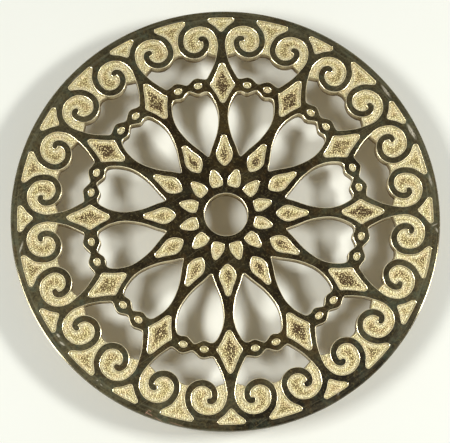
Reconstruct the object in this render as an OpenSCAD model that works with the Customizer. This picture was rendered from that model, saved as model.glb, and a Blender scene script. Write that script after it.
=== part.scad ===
// Round cast brass trivet: an openwork rosette plate on four turned feet.
// Every foot is held by a screw from below, under a rubber pad.
// The origin is on the table, below the middle of the plate.

/* [Plate] */
// Diameter of the plate
plate_d = 203; // [190:1:216]
// Thickness of the plate
plate_t = 6; // [5.5:0.1:8]
// Depth of the stippled grounds below the polished face
ground_depth = 1.2; // [0.6:0.1:1.5]
// Chamfer along the rim of the plate
rim_chamfer = 0.6; // [0.3:0.1:1]
// Width of the plain band along the rim
rim_w = 3.2; // [2.6:0.1:3.8]

/* [Hub] */
// Diameter of the centre hole
hole_d = 20.8; // [18:0.2:22]
// Width of the plain ring round the centre hole
hub_w = 3.4; // [2.6:0.1:4]
// Length of an inner drop
inner_drop_l = 8.7; // [7:0.1:9.5]
// Width of an inner drop
inner_drop_w = 6.1; // [4.5:0.1:6.8]
// Distance along the radius from the inner drops to the outer drops
drop_gap = 1.3; // [0.8:0.1:2]
// Length of an outer drop
outer_drop_l = 15.2; // [12:0.1:17]
// Width of an outer drop
outer_drop_w = 7.9; // [6:0.1:8.6]

/* [Petals and lozenges] */
// Width of the star between an inner drop and the tip of a petal opening
star_w = 6.8; // [5:0.1:9]
// Width of the web between two petal openings where they are widest
petal_web_w = 6.2; // [5:0.1:8]
// Length of a lozenge
lozenge_l = 20.1; // [17:0.1:21.5]
// Width of the raised line between a lozenge and an eye's ring
lozenge_line_w = 1.95; // [1.2:0.05:3]

/* [Eyes] */
// Length of an eye along the radius
eye_l = 3; // [2:0.1:4.4]
// Width of an eye across the radius
eye_w = 3.9; // [2.4:0.1:4.8]
// Outer diameter of the ring round an eye
eye_ring_d = 7.8; // [7:0.1:8.4]
// Distance between the two eyes of a pair
eye_spacing = 10; // [9:0.1:10.6]
// Width of the bar that joins the two eyes of a pair
eye_bar_w = 3.1; // [2.4:0.1:4]

/* [Scrolls and rim] */
// Width of the stem between two scrolls
stem_w = 3.5; // [2.4:0.1:5]
// Width of the raised stroke of a scroll
stroke_w = 2.9; // [2.2:0.1:3.2]
// Width of a spandrel's tail between two strokes
tail_w = 3.5; // [2.4:0.1:5]
// Distance from a scroll's ground to the plain band along the rim
scroll_rim_w = 4.5; // [3.4:0.1:6]
// Length of a rim triangle along the radius
triangle_l = 7.2; // [5.5:0.1:8]
// Width of a rim triangle
triangle_w = 12.8; // [10:0.1:13.6]

/* [Feet] */
// Distance from the rim of the plate to the middle of a foot
foot_inset = 12; // [11:0.5:15]
// Height of a foot
foot_h = 13; // [11:0.5:20]
// Diameter of a foot at the top
foot_top_d = 12; // [11.4:0.1:14]
// Diameter of a foot at the bottom
foot_d = 10.4; // [10:0.1:12]
// Rounding of the lower edge of a foot
foot_round = 0.5; // [0.2:0.1:0.5]
// Diameter of the boss above a foot
boss_d = 12; // [10:0.1:14]
// Height of the boss above a foot
boss_h = 2; // [1:0.1:4]

/* [Screws and pads] */
// Diameter of a foot screw
screw_d = 4; // [3:0.1:4.4]
// Diameter of a screw head
screw_head_d = 7; // [6:0.1:7.4]
// Height of a screw head
screw_head_h = 2.6; // [1.8:0.1:3]
// Width of the slot in a screw head
slot_w = 1; // [0.8:0.1:1.4]
// Depth of the slot in a screw head
slot_depth = 1.1; // [0.8:0.1:1.4]
// Length of thread in the boss and the plate
thread_l = 5; // [4:0.1:5.2]
// Diameter of a pad
pad_d = 8.2; // [7.6:0.1:8.6]
// Thickness of a pad
pad_t = 2.2; // [2:0.1:3]
// Depth of the seat of a pad in its foot
pad_seat = 1.2; // [0.8:0.1:1.5]

/* [Fits] */
// Clearance between a screw and its threaded hole, on the radius
thread_clearance = 0.05; // [0.02:0.01:0.1]
// Clearance between a screw and its foot, on the radius
screw_clearance = 0.2; // [0.1:0.05:0.3]
// Clearance at the end of a screw and over its head
end_clearance = 0.3; // [0.2:0.1:0.5]
// Clearance between a pad and its seat, on the radius
pad_clearance = 0.1; // [0.05:0.05:0.2]

/* [Hidden] */

// Facets of the round pieces
$fn = 96;
// The most that a curve bends within one of its straight pieces, in degrees
piece_bend = 22;
// How far a cut runs past the face that it opens
overrun = 0.4;

// The plate has twelve like sectors, each with a lozenge line in its middle
sectors = 12;
pitch = 360 / sectors;
feet = 4;

plate_r = plate_d / 2;
rim_in_r = plate_r - rim_w;
pad_proud = pad_t - pad_seat;
foot_z = pad_proud;
boss_z = foot_z + foot_h;
plate_z = boss_z + boss_h;
plate_top = plate_z + plate_t;
head_seat = pad_seat + screw_head_h + end_clearance;
screw_l = foot_h - head_seat + thread_l;
thread_r = screw_d / 2 + thread_clearance;

// The place of the eyes, as a share of the plate's radius, and of a lozenge's inner
// end from there, as a share of its length
eye_place_share = 0.637;
lozenge_place_share = 0.482;
// Where a petal is widest, as a share of its length
petal_wide_share = 0.7;

// Half outlines, from the end near the hub to the far end, as shares of the
// length and of half the width
inner_drop_share = [
    [0, 0], [0.01, 0.5], [0.07, 0.86], [0.34, 1], [0.6, 0.82], [0.84, 0.5], [0.96, 0.27], [1, 0]
];
outer_drop_share = [
    [0, 0], [0.07, 0.43], [0.2, 0.82], [0.36, 1], [0.5, 0.91], [0.74, 0.55], [0.95, 0.31], [1, 0]
];
lozenge_share = [
    [0, 0], [0.05, 0.24], [0.2, 0.48], [0.35, 0.8], [0.46, 1],
    [0.56, 0.81], [0.75, 0.51], [0.94, 0.24], [1, 0]
];
petal_share = [
    [0, 0], [0.04, 0.12], [0.1, 0.235], [0.3, 0.66], [0.52, 0.945],
    [petal_wide_share, 1], [0.85, 0.915], [0.915, 0.81], [0.932, 0.7]
];
triangle_share = [[0, 0], [0.07, 0.15], [0.4, 0.49], [0.62, 0.84], [0.8, 1], [0.95, 0.91]];

// The side of a bay along a stem, from the lozenge line, as shares of the
// lozenge's length from its middle and of half its width
stem_side_share = [[0.095, 1.38], [0.12, 1.21], [0.2, 1.06], [0.35, 0.8], [0.53, 0.56]];

// The middle line of a scroll's stroke, from the rim to its hooked end, round
// the scroll's centre, as shares of the scroll's radius
scroll_line_share = [
    [0.99, 0.31], [0.75, 0.51], [0.435, 0.725], [0.01, 0.805], [-0.35, 0.75],
    [-0.6, 0.6], [-0.79, 0.32], [-0.84, -0.03], [-0.72, -0.35], [-0.485, -0.58],
    [-0.19, -0.66], [0.03, -0.615], [0.145, -0.49], [0.135, -0.37]
];
// The far side of the scroll's ground, from the mouth along the stem and the rim
scroll_ground_share = [
    [-0.74, -1.25], [-0.47, -1.295], [-0.16, -1.32], [0.21, -1.235], [0.575, -1.035],
    [0.825, -0.67], [0.895, -0.27], [0.81, 0.105], [0.635, 0.375]
];
// The corner of a spandrel between the stroke and the rim
spandrel_corner_share = [[0.95, 0.58], [1.07, 0.535], [1.19, 0.605]];
// The scroll's reach to the spandrel, to the stem and to the rim
stroke_reach_share = scroll_line_share[3].y;
stem_reach_share = -scroll_ground_share[2].y;
rim_reach_share = scroll_ground_share[6].x;
// The end of a bay at the spandrel's tail, in from the scroll's centre
bay_end_share = 0.515;
// Points of the middle line at the spandrel's corner, at the end of the ground's far
// side, at the spandrel's tail, at the mouth of the ground and at the hooked end
corner_point = 1;
ground_point = 2;
tail_point = 5;
mouth_point = 9;
hook_point = 13;

// Angles, seen from the middle of an eye, between which its ring borders the
// petal and the bay
petal_ring_angles = [155, 180, 205, 230];
bay_ring_angles = [-38, -12, 14, 38];
// Angles from the way of a stroke round its hooked end
hook_angles = [45, 0, -45];
eye_sides = 12;
// Where a spandrel and a triangle meet the rim band
spandrel_rim_angle = 11.5;
triangle_rim_share = 0.75;

// A point at a distance and an angle
function polar(r, a) = [r * cos(a), r * sin(a)];

// A list of points turned about the middle of the plate
function turned(points, a) = [
    for (p = points) [p.x * cos(a) - p.y * sin(a), p.x * sin(a) + p.y * cos(a)]
];

// A list of points mirrored across the line at an angle
function across(points, a) = [
    for (p = points) [p.x * cos(2 * a) + p.y * sin(2 * a), p.x * sin(2 * a) - p.y * cos(2 * a)]
];

// A list of points the other way round, without its two ends
function back_again(points) = [for (i = [len(points) - 2:-1:1]) points[i]];

// A half outline made whole across the line at an angle
function whole(half, a) = concat(half, across(back_again(half), a));

// A point on the smooth curve between q and r, with p before them and s after
function between(p, q, r, s, t) =
    q + t * ((r - p) / 2 + t * (p - 2.5 * q + 2 * r - s / 2 + t * (3 * (q - r) + s - p) / 2));

// How far the smooth curve turns between q and r
function turn(p, q, r, s) = let (a = r - p, b = s - q) atan2(abs(a.x * b.y - a.y * b.x), a * b);

// Points of the smooth curve from q up to r, r itself left out
function stretch(p, q, r, s) = let (n = max(1, ceil(turn(p, q, r, s) / piece_bend)))
    [for (j = [0:n - 1]) between(p, q, r, s, j / n)];

// The part between two of the points of the smooth curve through all of them
function curve(points, from, to) = let (last = len(points) - 1) concat(
    [for (i = [from:to - 1])
        each stretch(points[max(i - 1, 0)], points[i], points[i + 1], points[min(i + 2, last)])],
    [points[to]]
);

// A smooth closed curve through the points
function loop(points) = let (all = len(points)) [
    for (i = [0:all - 1])
        each stretch(points[(i + all - 1) % all], points[i],
                     points[(i + 1) % all], points[(i + 2) % all])
];

// Shares made into points: x from a start along the radius, y to the side
function sized(shares, start, l, w) = [for (s = shares) [start + s.x * l, s.y * w / 2]];

// The drops, each on its own line
hub_r = hole_d / 2 + hub_w;
outer_drop_r = hub_r + inner_drop_l + drop_gap;
inner_drop = loop(whole(sized(inner_drop_share, hub_r, inner_drop_l, inner_drop_w), 0));
outer_drop = loop(whole(sized(outer_drop_share, outer_drop_r, outer_drop_l, outer_drop_w), 0));

// The triangle, on the lozenge line
triangle_rim = asin(triangle_rim_share * triangle_w / 2 / rim_in_r);
triangle = loop(whole(concat(
    sized(triangle_share, rim_in_r - triangle_l, triangle_l, triangle_w),
    [polar(rim_in_r, triangle_rim), polar(rim_in_r, 0)]
), 0));

// The eyes lie on one circle, at equal distances from the petal line
eye_r = eye_place_share * plate_r;
eye_angle = asin(eye_spacing / 2 / eye_r);
eye_ring_r = eye_ring_d / 2;
eye_centre = polar(eye_r, eye_angle);
eye = [
    for (i = [0:eye_sides - 1]) let (a = 360 * i / eye_sides)
        [eye_r + eye_l / 2 * cos(a), eye_w / 2 * sin(a)]
];

// The lozenge reaches up to the rings on both sides of it
lozenge_r = eye_r - lozenge_place_share * lozenge_l;
lozenge_w = 2 * (eye_r * sin(pitch / 2 - eye_angle) - eye_ring_r - lozenge_line_w);
lozenge = loop(whole(sized(lozenge_share, lozenge_r, lozenge_l, lozenge_w), 0));

// The petal, on its own line, fills what the star, the webs and the bar leave
petal_r = hub_r + inner_drop_l + star_w;
petal_end = eye_r - eye_bar_w / 2;
petal_l = petal_end - petal_r;
petal_wide_r = petal_r + petal_wide_share * petal_l;
petal_w = 2 * (petal_wide_r * tan(pitch / 2) - petal_web_w / 2 / cos(pitch / 2));
petal = loop(whole(concat(
    sized(petal_share, petal_r, petal_l, petal_w),
    [for (a = petal_ring_angles) eye_centre + polar(eye_ring_r, a)],
    [[petal_end, 0]]
), 0));

// The scrolls fill what stem, strokes and spandrel tail leave of the pitch
scroll_room_r = rim_in_r - scroll_rim_w;
scroll_lines_w = stem_w / 2 + stroke_w / 2 + tail_w / 2 / cos(pitch / 2);
scroll_r = (scroll_room_r * tan(pitch / 2) - scroll_lines_w)
    / (stem_reach_share + stroke_reach_share + rim_reach_share * tan(pitch / 2));
scroll_centre = [scroll_room_r - rim_reach_share * scroll_r, stem_w / 2 + stem_reach_share * scroll_r];

// The two edges of a scroll's stroke, as points in the order of its middle line
function scroll_points(shares) = [for (s = shares) scroll_centre + s * scroll_r];
scroll_line = scroll_points(scroll_line_share);
function line_way(i) =
    let (d = scroll_line[min(i + 1, hook_point)] - scroll_line[max(i - 1, 0)]) d / norm(d);
function line_edge(i, a) = scroll_line[i] + turned([line_way(i)], a)[0] * stroke_w / 2;
stroke_in = [for (i = [0:hook_point]) line_edge(i, 90)];
stroke_out = [for (i = [0:hook_point]) line_edge(i, -90)];
function run(points, from, to) = [for (i = [from:(to > from ? 1 : -1):to]) points[i]];

// The ground of a scroll, beside the lozenge line: along the stem and the rim, in along
// the stroke, round its hooked end and out along the stroke's other edge
scroll_far_side = scroll_points(scroll_ground_share);
mouth_stem = scroll_far_side[0];
mouth_stroke = stroke_out[mouth_point];
scroll_edge = concat(
    scroll_far_side,
    run(stroke_in, ground_point, hook_point - 1),
    [for (a = hook_angles) line_edge(hook_point, a)],
    run(stroke_out, hook_point, mouth_point - 1)
);
scroll_ground = concat(
    curve(scroll_edge, 0, len(scroll_edge) - 2),
    [mouth_stroke - [overrun, overrun], mouth_stem + [-overrun, overrun]]
);

// The spandrel, across the petal line
tail = stroke_out[tail_point];
tail_in_place = turned([tail], -pitch / 2)[0];
spandrel_edge = concat(
    run(stroke_out, tail_point + 1, corner_point),
    scroll_points(spandrel_corner_share),
    [polar(rim_in_r, spandrel_rim_angle), polar(rim_in_r, pitch / 2)]
);
spandrel = whole(concat(
    turned([[tail_in_place.x - overrun, 0], tail_in_place - [overrun, -overrun]], pitch / 2),
    curve(spandrel_edge, 1, len(spandrel_edge) - 1)
), pitch / 2);

// The bay, across the petal line
bay_start = polar(eye_r + eye_bar_w / 2, pitch / 2);
bay_end = polar(norm(scroll_centre) - bay_end_share * scroll_r, pitch / 2);
lozenge_middle = lozenge_r + lozenge_l / 2;
ring_in_place = polar(eye_r, pitch / 2 - eye_angle);
stem_edge = concat(
    [bay_start],
    [for (a = bay_ring_angles) ring_in_place + polar(eye_ring_r, pitch / 2 - a)],
    sized(stem_side_share, lozenge_middle, lozenge_l, lozenge_w),
    run(scroll_far_side, 0, 1)
);
stroke_edge = run(stroke_out, mouth_point + 1, tail_point - 1);
bay = whole(concat(
    curve(stem_edge, 0, len(stem_edge) - 2),
    curve(stroke_edge, 1, len(stroke_edge) - 2),
    curve([tail, bay_end, across([tail], pitch / 2)[0]], 0, 1)
), pitch / 2);

// What one sector holds, and the same turned into every sector
sector_openings = [turned(petal, pitch / 2), bay];
sector_grounds = [
    turned(inner_drop, pitch / 2), outer_drop, lozenge, triangle, spandrel,
    scroll_ground, across(scroll_ground, 0),
    turned(eye, pitch / 2 - eye_angle), turned(eye, eye_angle - pitch / 2)
];

// The outlines of one sector as flat shapes in every sector
module all_round(outlines) {
    for (i = [0:sectors - 1], outline = outlines) polygon(turned(outline, i * pitch));
}

// Children at the place of one foot
module at_foot(side) {
    rotate(side * 360 / feet) translate([plate_r - foot_inset, 0]) children();
}

module plate_disc() {
    translate([0, 0, plate_z])
        rotate_extrude()
            polygon([
                [0, 0], [plate_r - rim_chamfer, 0], [plate_r, rim_chamfer],
                [plate_r, plate_t - rim_chamfer], [plate_r - rim_chamfer, plate_t], [0, plate_t]
            ]);
}

// The casting: disc and bosses, less the openings, grounds and screw holes
module openwork_plate() {
    color("#6b5a33") difference() {
        union() {
            plate_disc();
            for (i = [0:feet - 1])
                at_foot(i) translate([0, 0, boss_z]) cylinder(h = boss_h + overrun, d = boss_d);
        }
        translate([0, 0, plate_z - overrun])
            linear_extrude(plate_t + 2 * overrun) all_round(sector_openings);
        translate([0, 0, plate_top - ground_depth])
            linear_extrude(ground_depth + overrun) all_round(sector_grounds);
        translate([0, 0, plate_z - overrun])
            cylinder(h = plate_t + 2 * overrun, d = hole_d);
        for (i = [0:feet - 1])
            at_foot(i) translate([0, 0, boss_z - overrun])
                cylinder(h = thread_l + end_clearance + overrun, r = thread_r);
    }
}

// A turned foot with a seat for the screw's head and one for the pad
module foot(side) {
    color("#b08d4a") at_foot(side) translate([0, 0, foot_z]) difference() {
        rotate_extrude() polygon(concat(
            [[0, 0]],
            [for (a = [-90:15:0])
                [foot_d / 2 - foot_round, foot_round] + polar(foot_round, a)],
            [[foot_top_d / 2, foot_h], [0, foot_h]]
        ));
        translate([0, 0, -overrun]) cylinder(h = pad_seat + overrun, r = pad_d / 2 + pad_clearance);
        cylinder(h = head_seat, r = screw_head_d / 2 + screw_clearance);
        cylinder(h = foot_h + overrun, r = screw_d / 2 + screw_clearance);
    }
}

// A slotted screw, with its head below and its thread up in the plate
module foot_screw(side) {
    color("#8d8a80") at_foot(side) translate([0, 0, foot_z + head_seat]) difference() {
        union() {
            translate([0, 0, -screw_head_h]) cylinder(h = screw_head_h, d = screw_head_d);
            cylinder(h = screw_l, d = screw_d);
        }
        translate([-screw_head_d, -slot_w / 2, -screw_head_h - overrun])
            cube([2 * screw_head_d, slot_w, slot_depth + overrun]);
    }
}

// A rubber pad, which the trivet stands on
module foot_pad(side) {
    color("#26241f") at_foot(side) cylinder(h = pad_t, d = pad_d);
}

openwork_plate();
foot(0);  // foot_right
foot(1);  // foot_rear
foot(2);  // foot_left
foot(3);  // foot_front
foot_screw(0);  // foot_screw_right
foot_screw(1);  // foot_screw_rear
foot_screw(2);  // foot_screw_left
foot_screw(3);  // foot_screw_front
foot_pad(0);  // foot_pad_right
foot_pad(1);  // foot_pad_rear
foot_pad(2);  // foot_pad_left
foot_pad(3);  // foot_pad_front
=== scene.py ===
import math

import bpy
import numpy as np
from mathutils import Matrix, Vector
from mathutils.geometry import delaunay_2d_cdt


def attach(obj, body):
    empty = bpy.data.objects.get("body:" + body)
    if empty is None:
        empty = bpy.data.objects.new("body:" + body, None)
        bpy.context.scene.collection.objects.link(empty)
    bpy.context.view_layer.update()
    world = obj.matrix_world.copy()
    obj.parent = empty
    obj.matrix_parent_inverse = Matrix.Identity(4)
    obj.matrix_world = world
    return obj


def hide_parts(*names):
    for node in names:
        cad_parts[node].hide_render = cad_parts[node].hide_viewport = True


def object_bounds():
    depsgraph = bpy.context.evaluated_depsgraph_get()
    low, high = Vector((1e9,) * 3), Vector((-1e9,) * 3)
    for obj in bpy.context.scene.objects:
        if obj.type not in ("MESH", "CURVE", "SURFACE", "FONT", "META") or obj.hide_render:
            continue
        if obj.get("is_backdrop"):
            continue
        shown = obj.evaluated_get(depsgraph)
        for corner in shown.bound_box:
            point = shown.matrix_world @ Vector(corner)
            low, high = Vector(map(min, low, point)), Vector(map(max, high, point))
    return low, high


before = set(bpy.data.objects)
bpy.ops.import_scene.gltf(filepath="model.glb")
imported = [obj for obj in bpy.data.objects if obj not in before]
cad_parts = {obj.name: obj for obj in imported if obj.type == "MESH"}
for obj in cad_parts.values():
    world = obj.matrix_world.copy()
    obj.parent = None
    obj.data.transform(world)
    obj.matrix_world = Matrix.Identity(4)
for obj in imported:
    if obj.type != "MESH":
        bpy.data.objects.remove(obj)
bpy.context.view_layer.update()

MM = 0.001
SIDES = ("right", "rear", "left", "front")

# The casting. Lengths are in millimetres and angles in degrees.
SECTORS = 12
PITCH = 360 / SECTORS
LOZENGE_LINE = 0
PETAL_LINE = PITCH / 2
PLATE_R = 101.5
PLATE_TOP = 22
PLATE_BOTTOM = 16
GROUND_Z = 20.8
RIM_W = 3.2
RIM_IN_R = PLATE_R - RIM_W
HOLE_R = 10.4
HUB_R = HOLE_R + 3.4
INNER_DROP_L, INNER_DROP_W = 8.7, 6.1
DROP_GAP = 1.3
OUTER_DROP_L, OUTER_DROP_W = 15.2, 7.9
STAR_W = 6.8
PETAL_WEB_W = 6.2
LOZENGE_L = 20.1
LOZENGE_LINE_W = 1.95
EYE_L, EYE_W = 3, 3.9
EYE_RING_R = 3.9
EYE_SPACING = 10
EYE_BAR_W = 3.1
STEM_W = 3.5
STROKE_W = 2.9
TAIL_W = 3.5
SCROLL_RIM_W = 4.5
TRIANGLE_L, TRIANGLE_W = 7.2, 12.8

EYE_PLACE_SHARE = 0.637
LOZENGE_PLACE_SHARE = 0.482
PETAL_WIDE_SHARE = 0.7
INNER_DROP_SHARE = [
    (0, 0), (0.01, 0.5), (0.07, 0.86), (0.34, 1), (0.6, 0.82), (0.84, 0.5), (0.96, 0.27), (1, 0)]
OUTER_DROP_SHARE = [
    (0, 0), (0.07, 0.43), (0.2, 0.82), (0.36, 1), (0.5, 0.91), (0.74, 0.55), (0.95, 0.31), (1, 0)]
LOZENGE_SHARE = [
    (0, 0), (0.05, 0.24), (0.2, 0.48), (0.35, 0.8), (0.46, 1),
    (0.56, 0.81), (0.75, 0.51), (0.94, 0.24), (1, 0)]
PETAL_SHARE = [
    (0, 0), (0.04, 0.12), (0.1, 0.235), (0.3, 0.66), (0.52, 0.945),
    (PETAL_WIDE_SHARE, 1), (0.85, 0.915), (0.915, 0.81), (0.932, 0.7)]
TRIANGLE_SHARE = [(0, 0), (0.07, 0.15), (0.4, 0.49), (0.62, 0.84), (0.8, 1), (0.95, 0.91)]
STEM_SIDE_SHARE = [(0.095, 1.38), (0.12, 1.21), (0.2, 1.06), (0.35, 0.8), (0.53, 0.56)]
SCROLL_LINE_SHARE = [
    (0.99, 0.31), (0.75, 0.51), (0.435, 0.725), (0.01, 0.805), (-0.35, 0.75),
    (-0.6, 0.6), (-0.79, 0.32), (-0.84, -0.03), (-0.72, -0.35), (-0.485, -0.58),
    (-0.19, -0.66), (0.03, -0.615), (0.145, -0.49), (0.135, -0.37)]
SCROLL_GROUND_SHARE = [
    (-0.74, -1.25), (-0.47, -1.295), (-0.16, -1.32), (0.21, -1.235), (0.575, -1.035),
    (0.825, -0.67), (0.895, -0.27), (0.81, 0.105), (0.635, 0.375)]
SPANDREL_CORNER_SHARE = [(0.95, 0.58), (1.07, 0.535), (1.19, 0.605)]
BAY_END_SHARE = 0.515
TRIANGLE_RIM_SHARE = 0.75
SPANDREL_RIM_ANGLE = 11.5
PETAL_RING_ANGLES = (155, 180, 205, 230)
BAY_RING_ANGLES = (-38, -12, 14, 38)
HOOK_ANGLES = (-45, 0, 45)
CORNER_POINT, GROUND_POINT, TAIL_POINT, MOUTH_POINT, HOOK_POINT = 1, 2, 5, 9, 13

# How the edges of the casting are rounded, and where the walls and grounds begin outside their lines
EDGE_ROUND = 0.36
EDGE_OUT = 0.2
EDGE_ANGLES = (0, 45, 90)
DRAFT = 0.32
GROUND_OUT = 0.26
GROUND_FILLET = 0.3
UNDER_ROUND = 0.4
# How far out and how far down the open edge of a ground goes over a bay, and how far out its wall stands
OPEN_EDGE = ((0.3, 0.06), (0.56, 0.36))
OPEN_WALL_OUT = 0.86
# How far out and how far down the points of the rim's bevel are, its full height, and how far outside the
# rim's inner line the raised face ends and the rim's rows of points start
RIM_BEVEL = ((-0.46, 0), (-0.42, 0.008), (-0.3, 0.04), (-0.16, 0.08), (-0.04, 0.116), (-0.01, 0.16))
RIM_BEVEL_H = 0.3
RIM_ROW_GAP = 0.6
# How bare the brass is rubbed, from 0 to 1
BEVEL_WORN = 0.13
RIM_SIDE_WORN, RIM_UNDER_WORN = 0.1, 0.2
WALL_WORN, WALL_UNDER_WORN = 0.7, 0.5
# How much old polish is left in the middle of each kind of ground, from 0 to 1
GRIME = {"outer_drop": 0.95, "lozenge": 1.0, "triangle": 0.6, "inner_drop": 0.6, "eye": 0.2,
         "spandrel": 0.62, "scroll": 0.54}
# How fine the mesh is: degrees of bend, and lengths in millimetres
FINEST_BEND = 11
LONGEST_PIECE = 1.7
LEAST_ARC_PIECES = 3
EYE_POINTS = 20
STIPPLE_PITCH = 0.52
STIPPLE_EDGE_GAP = STIPPLE_PITCH * 0.55


def polar(r, a):
    """The point at a radius and an angle."""
    return np.array([r * math.cos(math.radians(a)), r * math.sin(math.radians(a))])


def turned(points, a):
    """Points turned about the middle."""
    (c, s) = polar(1, a)
    return np.asarray(points, float) @ np.array([[c, s], [-s, c]])


def across(points, a):
    """Points mirrored in the line through the middle at an angle."""
    (c, s) = polar(1, 2 * a)
    return np.asarray(points, float) @ np.array([[c, s], [s, -c]])


def sized(shares, start, length, width):
    """Half an outline along X, from shares of its length and of half its width."""
    return [np.array([start + x * length, y * width / 2]) for (x, y) in shares]


def length_of(v):
    return math.hypot(*v)


def between(p, q, r, s, t):
    """The point at a share t of the way from q to r, on a smooth curve through p, q, r and s."""
    return q + t * ((r - p) / 2 + t * (p - 2.5 * q + 2 * r - s / 2 + t * (3 * (q - r) + s - p) / 2))


def stretch(p, q, r, s):
    """The points from q up to r, closer together where the curve bends."""
    a, b = r - p, s - q
    bend = math.degrees(math.atan2(abs(a[0] * b[1] - a[1] * b[0]), a @ b))
    n = max(1, math.ceil(bend / FINEST_BEND), math.ceil(length_of(r - q) / LONGEST_PIECE))
    return [between(p, q, r, s, j / n) for j in range(n)]


class Edge:
    """A line between the raised face, on its left, and what is lower, on its right.

    side is the way out of the raised face at each of its points, lines are the angles of the lines of
    mirroring that it ends on, and marks are the places of the points that it was drawn through."""

    # How the reach of a move is found by halving, and the share of it that a tight corner gets
    HALVINGS = 14
    FREE_SHARE, FULL_SHARE, TIGHT_SHARE = 0.985, 0.99, 0.8

    def __init__(self, points, side, lines=(), marks=()):
        self.points, self.side, self.lines, self.marks = points, side, lines, marks

    def at(self, out):
        """The edge moved out, by less in a corner too tight for it."""
        near = self.points
        for line in self.lines:
            near = np.vstack([near, across(self.points, line)[::-1]])
        side = self.side * math.copysign(1, out)
        low, high = np.zeros(len(self.points)), np.full(len(self.points), abs(out))
        for _ in range(self.HALVINGS):
            middle = (low + high) / 2
            moved = self.points + side * middle[:, None]
            free = np.linalg.norm(moved[:, None] - near, axis=2).min(1) > middle * self.FREE_SHARE
            low, high = np.where(free, middle, low), np.where(free, high, middle)
        reach = np.where(low > abs(out) * self.FULL_SHARE, abs(out), low * self.TIGHT_SHARE)
        return self.points + side * reach[:, None]


def sides_of(points, before, after):
    """The way out at each point of a line that comes from one point and goes on to another."""
    way = np.vstack([points[1:], [after]]) - np.vstack([[before], points[:-1]])
    return np.c_[way[:, 1], -way[:, 0]] / np.linalg.norm(way, axis=1)[:, None]


def smooth_edge(points, start_line=None, end_line=None):
    """An edge through points. It goes on as its own mirror image at the lines that it ends on."""
    def beyond(line, end):
        return end[0] if line is None else across(end[1:], line)[0]
    points = [np.asarray(p, float) for p in points]
    guides = [beyond(start_line, points[:2])] + points + [beyond(end_line, points[:-3:-1])]
    curve, marks = [], []
    for i in range(1, len(guides) - 2):
        marks.append(len(curve))
        curve += stretch(*guides[i - 1:i + 3])
    marks.append(len(curve))
    curve = np.array(curve + [points[-1]])
    side = sides_of(curve, beyond(start_line, curve[:2]), beyond(end_line, curve[:-3:-1]))
    return Edge(curve, side, [line for line in (start_line, end_line) if line is not None], marks)


def round_edge(r, start, end, outwards):
    """Part of a circle about the middle, with the raised face on the left of it."""
    n = max(LEAST_ARC_PIECES, math.ceil(abs(end - start) * math.radians(1) * r / LONGEST_PIECE))
    points = np.array([polar(r, a) for a in np.linspace(start, end, n + 1)])
    return Edge(points, points / r * (1 if outwards else -1), [start, end])


def petal_side(points):
    """Half an outline made on its own line, moved to the lower side of the petal line, inwards."""
    return list(turned([(x, -y) for (x, y) in points], PETAL_LINE))[::-1]


# Places along the radius, worked out as in the part
outer_drop_r = HUB_R + INNER_DROP_L + DROP_GAP
eye_r = EYE_PLACE_SHARE * PLATE_R
eye_angle = math.degrees(math.asin(EYE_SPACING / 2 / eye_r))
lozenge_r = eye_r - LOZENGE_PLACE_SHARE * LOZENGE_L
lozenge_w = 2 * (polar(eye_r, PETAL_LINE - eye_angle)[1] - EYE_RING_R - LOZENGE_LINE_W)
petal_r = HUB_R + INNER_DROP_L + STAR_W
petal_end = eye_r - EYE_BAR_W / 2
petal_l = petal_end - petal_r
slope = math.tan(math.radians(PETAL_LINE))
petal_w = 2 * ((petal_r + PETAL_WIDE_SHARE * petal_l) * slope
               - PETAL_WEB_W / 2 / polar(1, PETAL_LINE)[0])
scroll_room_r = RIM_IN_R - SCROLL_RIM_W
stem_reach, stroke_reach = -SCROLL_GROUND_SHARE[2][1], SCROLL_LINE_SHARE[3][1]
rim_reach = SCROLL_GROUND_SHARE[6][0]
scroll_r = ((scroll_room_r * slope - STEM_W / 2 - STROKE_W / 2 - TAIL_W / 2 / polar(1, PETAL_LINE)[0])
            / (stem_reach + stroke_reach + rim_reach * slope))
scroll_centre = np.array([scroll_room_r - rim_reach * scroll_r, STEM_W / 2 + stem_reach * scroll_r])


def scroll_points(shares):
    """Points about the scroll's centre, from shares of its radius."""
    return [scroll_centre + np.array(s) * scroll_r for s in shares]


scroll_line = scroll_points(SCROLL_LINE_SHARE)


def stroke_point(i, a):
    """The point half a stroke's width from the scroll's line, at an angle to its way on."""
    way = scroll_line[min(i + 1, HOOK_POINT)] - scroll_line[max(i - 1, 0)]
    return scroll_line[i] + turned([way], a)[0] / length_of(way) * STROKE_W / 2


# The edges of half a sector, each with the raised face on its left
hub = round_edge(HOLE_R, PETAL_LINE, LOZENGE_LINE, outwards=False)
rim = round_edge(PLATE_R, LOZENGE_LINE, PETAL_LINE, outwards=True)
outer_drop = smooth_edge(sized(OUTER_DROP_SHARE, outer_drop_r, OUTER_DROP_L, OUTER_DROP_W),
                         LOZENGE_LINE, LOZENGE_LINE)
lozenge = smooth_edge(sized(LOZENGE_SHARE, lozenge_r, LOZENGE_L, lozenge_w), LOZENGE_LINE, LOZENGE_LINE)
triangle_rim = math.degrees(math.asin(TRIANGLE_RIM_SHARE * TRIANGLE_W / 2 / RIM_IN_R))
triangle = smooth_edge(sized(TRIANGLE_SHARE, RIM_IN_R - TRIANGLE_L, TRIANGLE_L, TRIANGLE_W)
                       + [polar(RIM_IN_R, triangle_rim), polar(RIM_IN_R, 0)], LOZENGE_LINE, LOZENGE_LINE)
inner_drop = smooth_edge(petal_side(sized(INNER_DROP_SHARE, HUB_R, INNER_DROP_L, INNER_DROP_W)),
                         PETAL_LINE, PETAL_LINE)
eye_centre = polar(eye_r, eye_angle)
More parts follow.
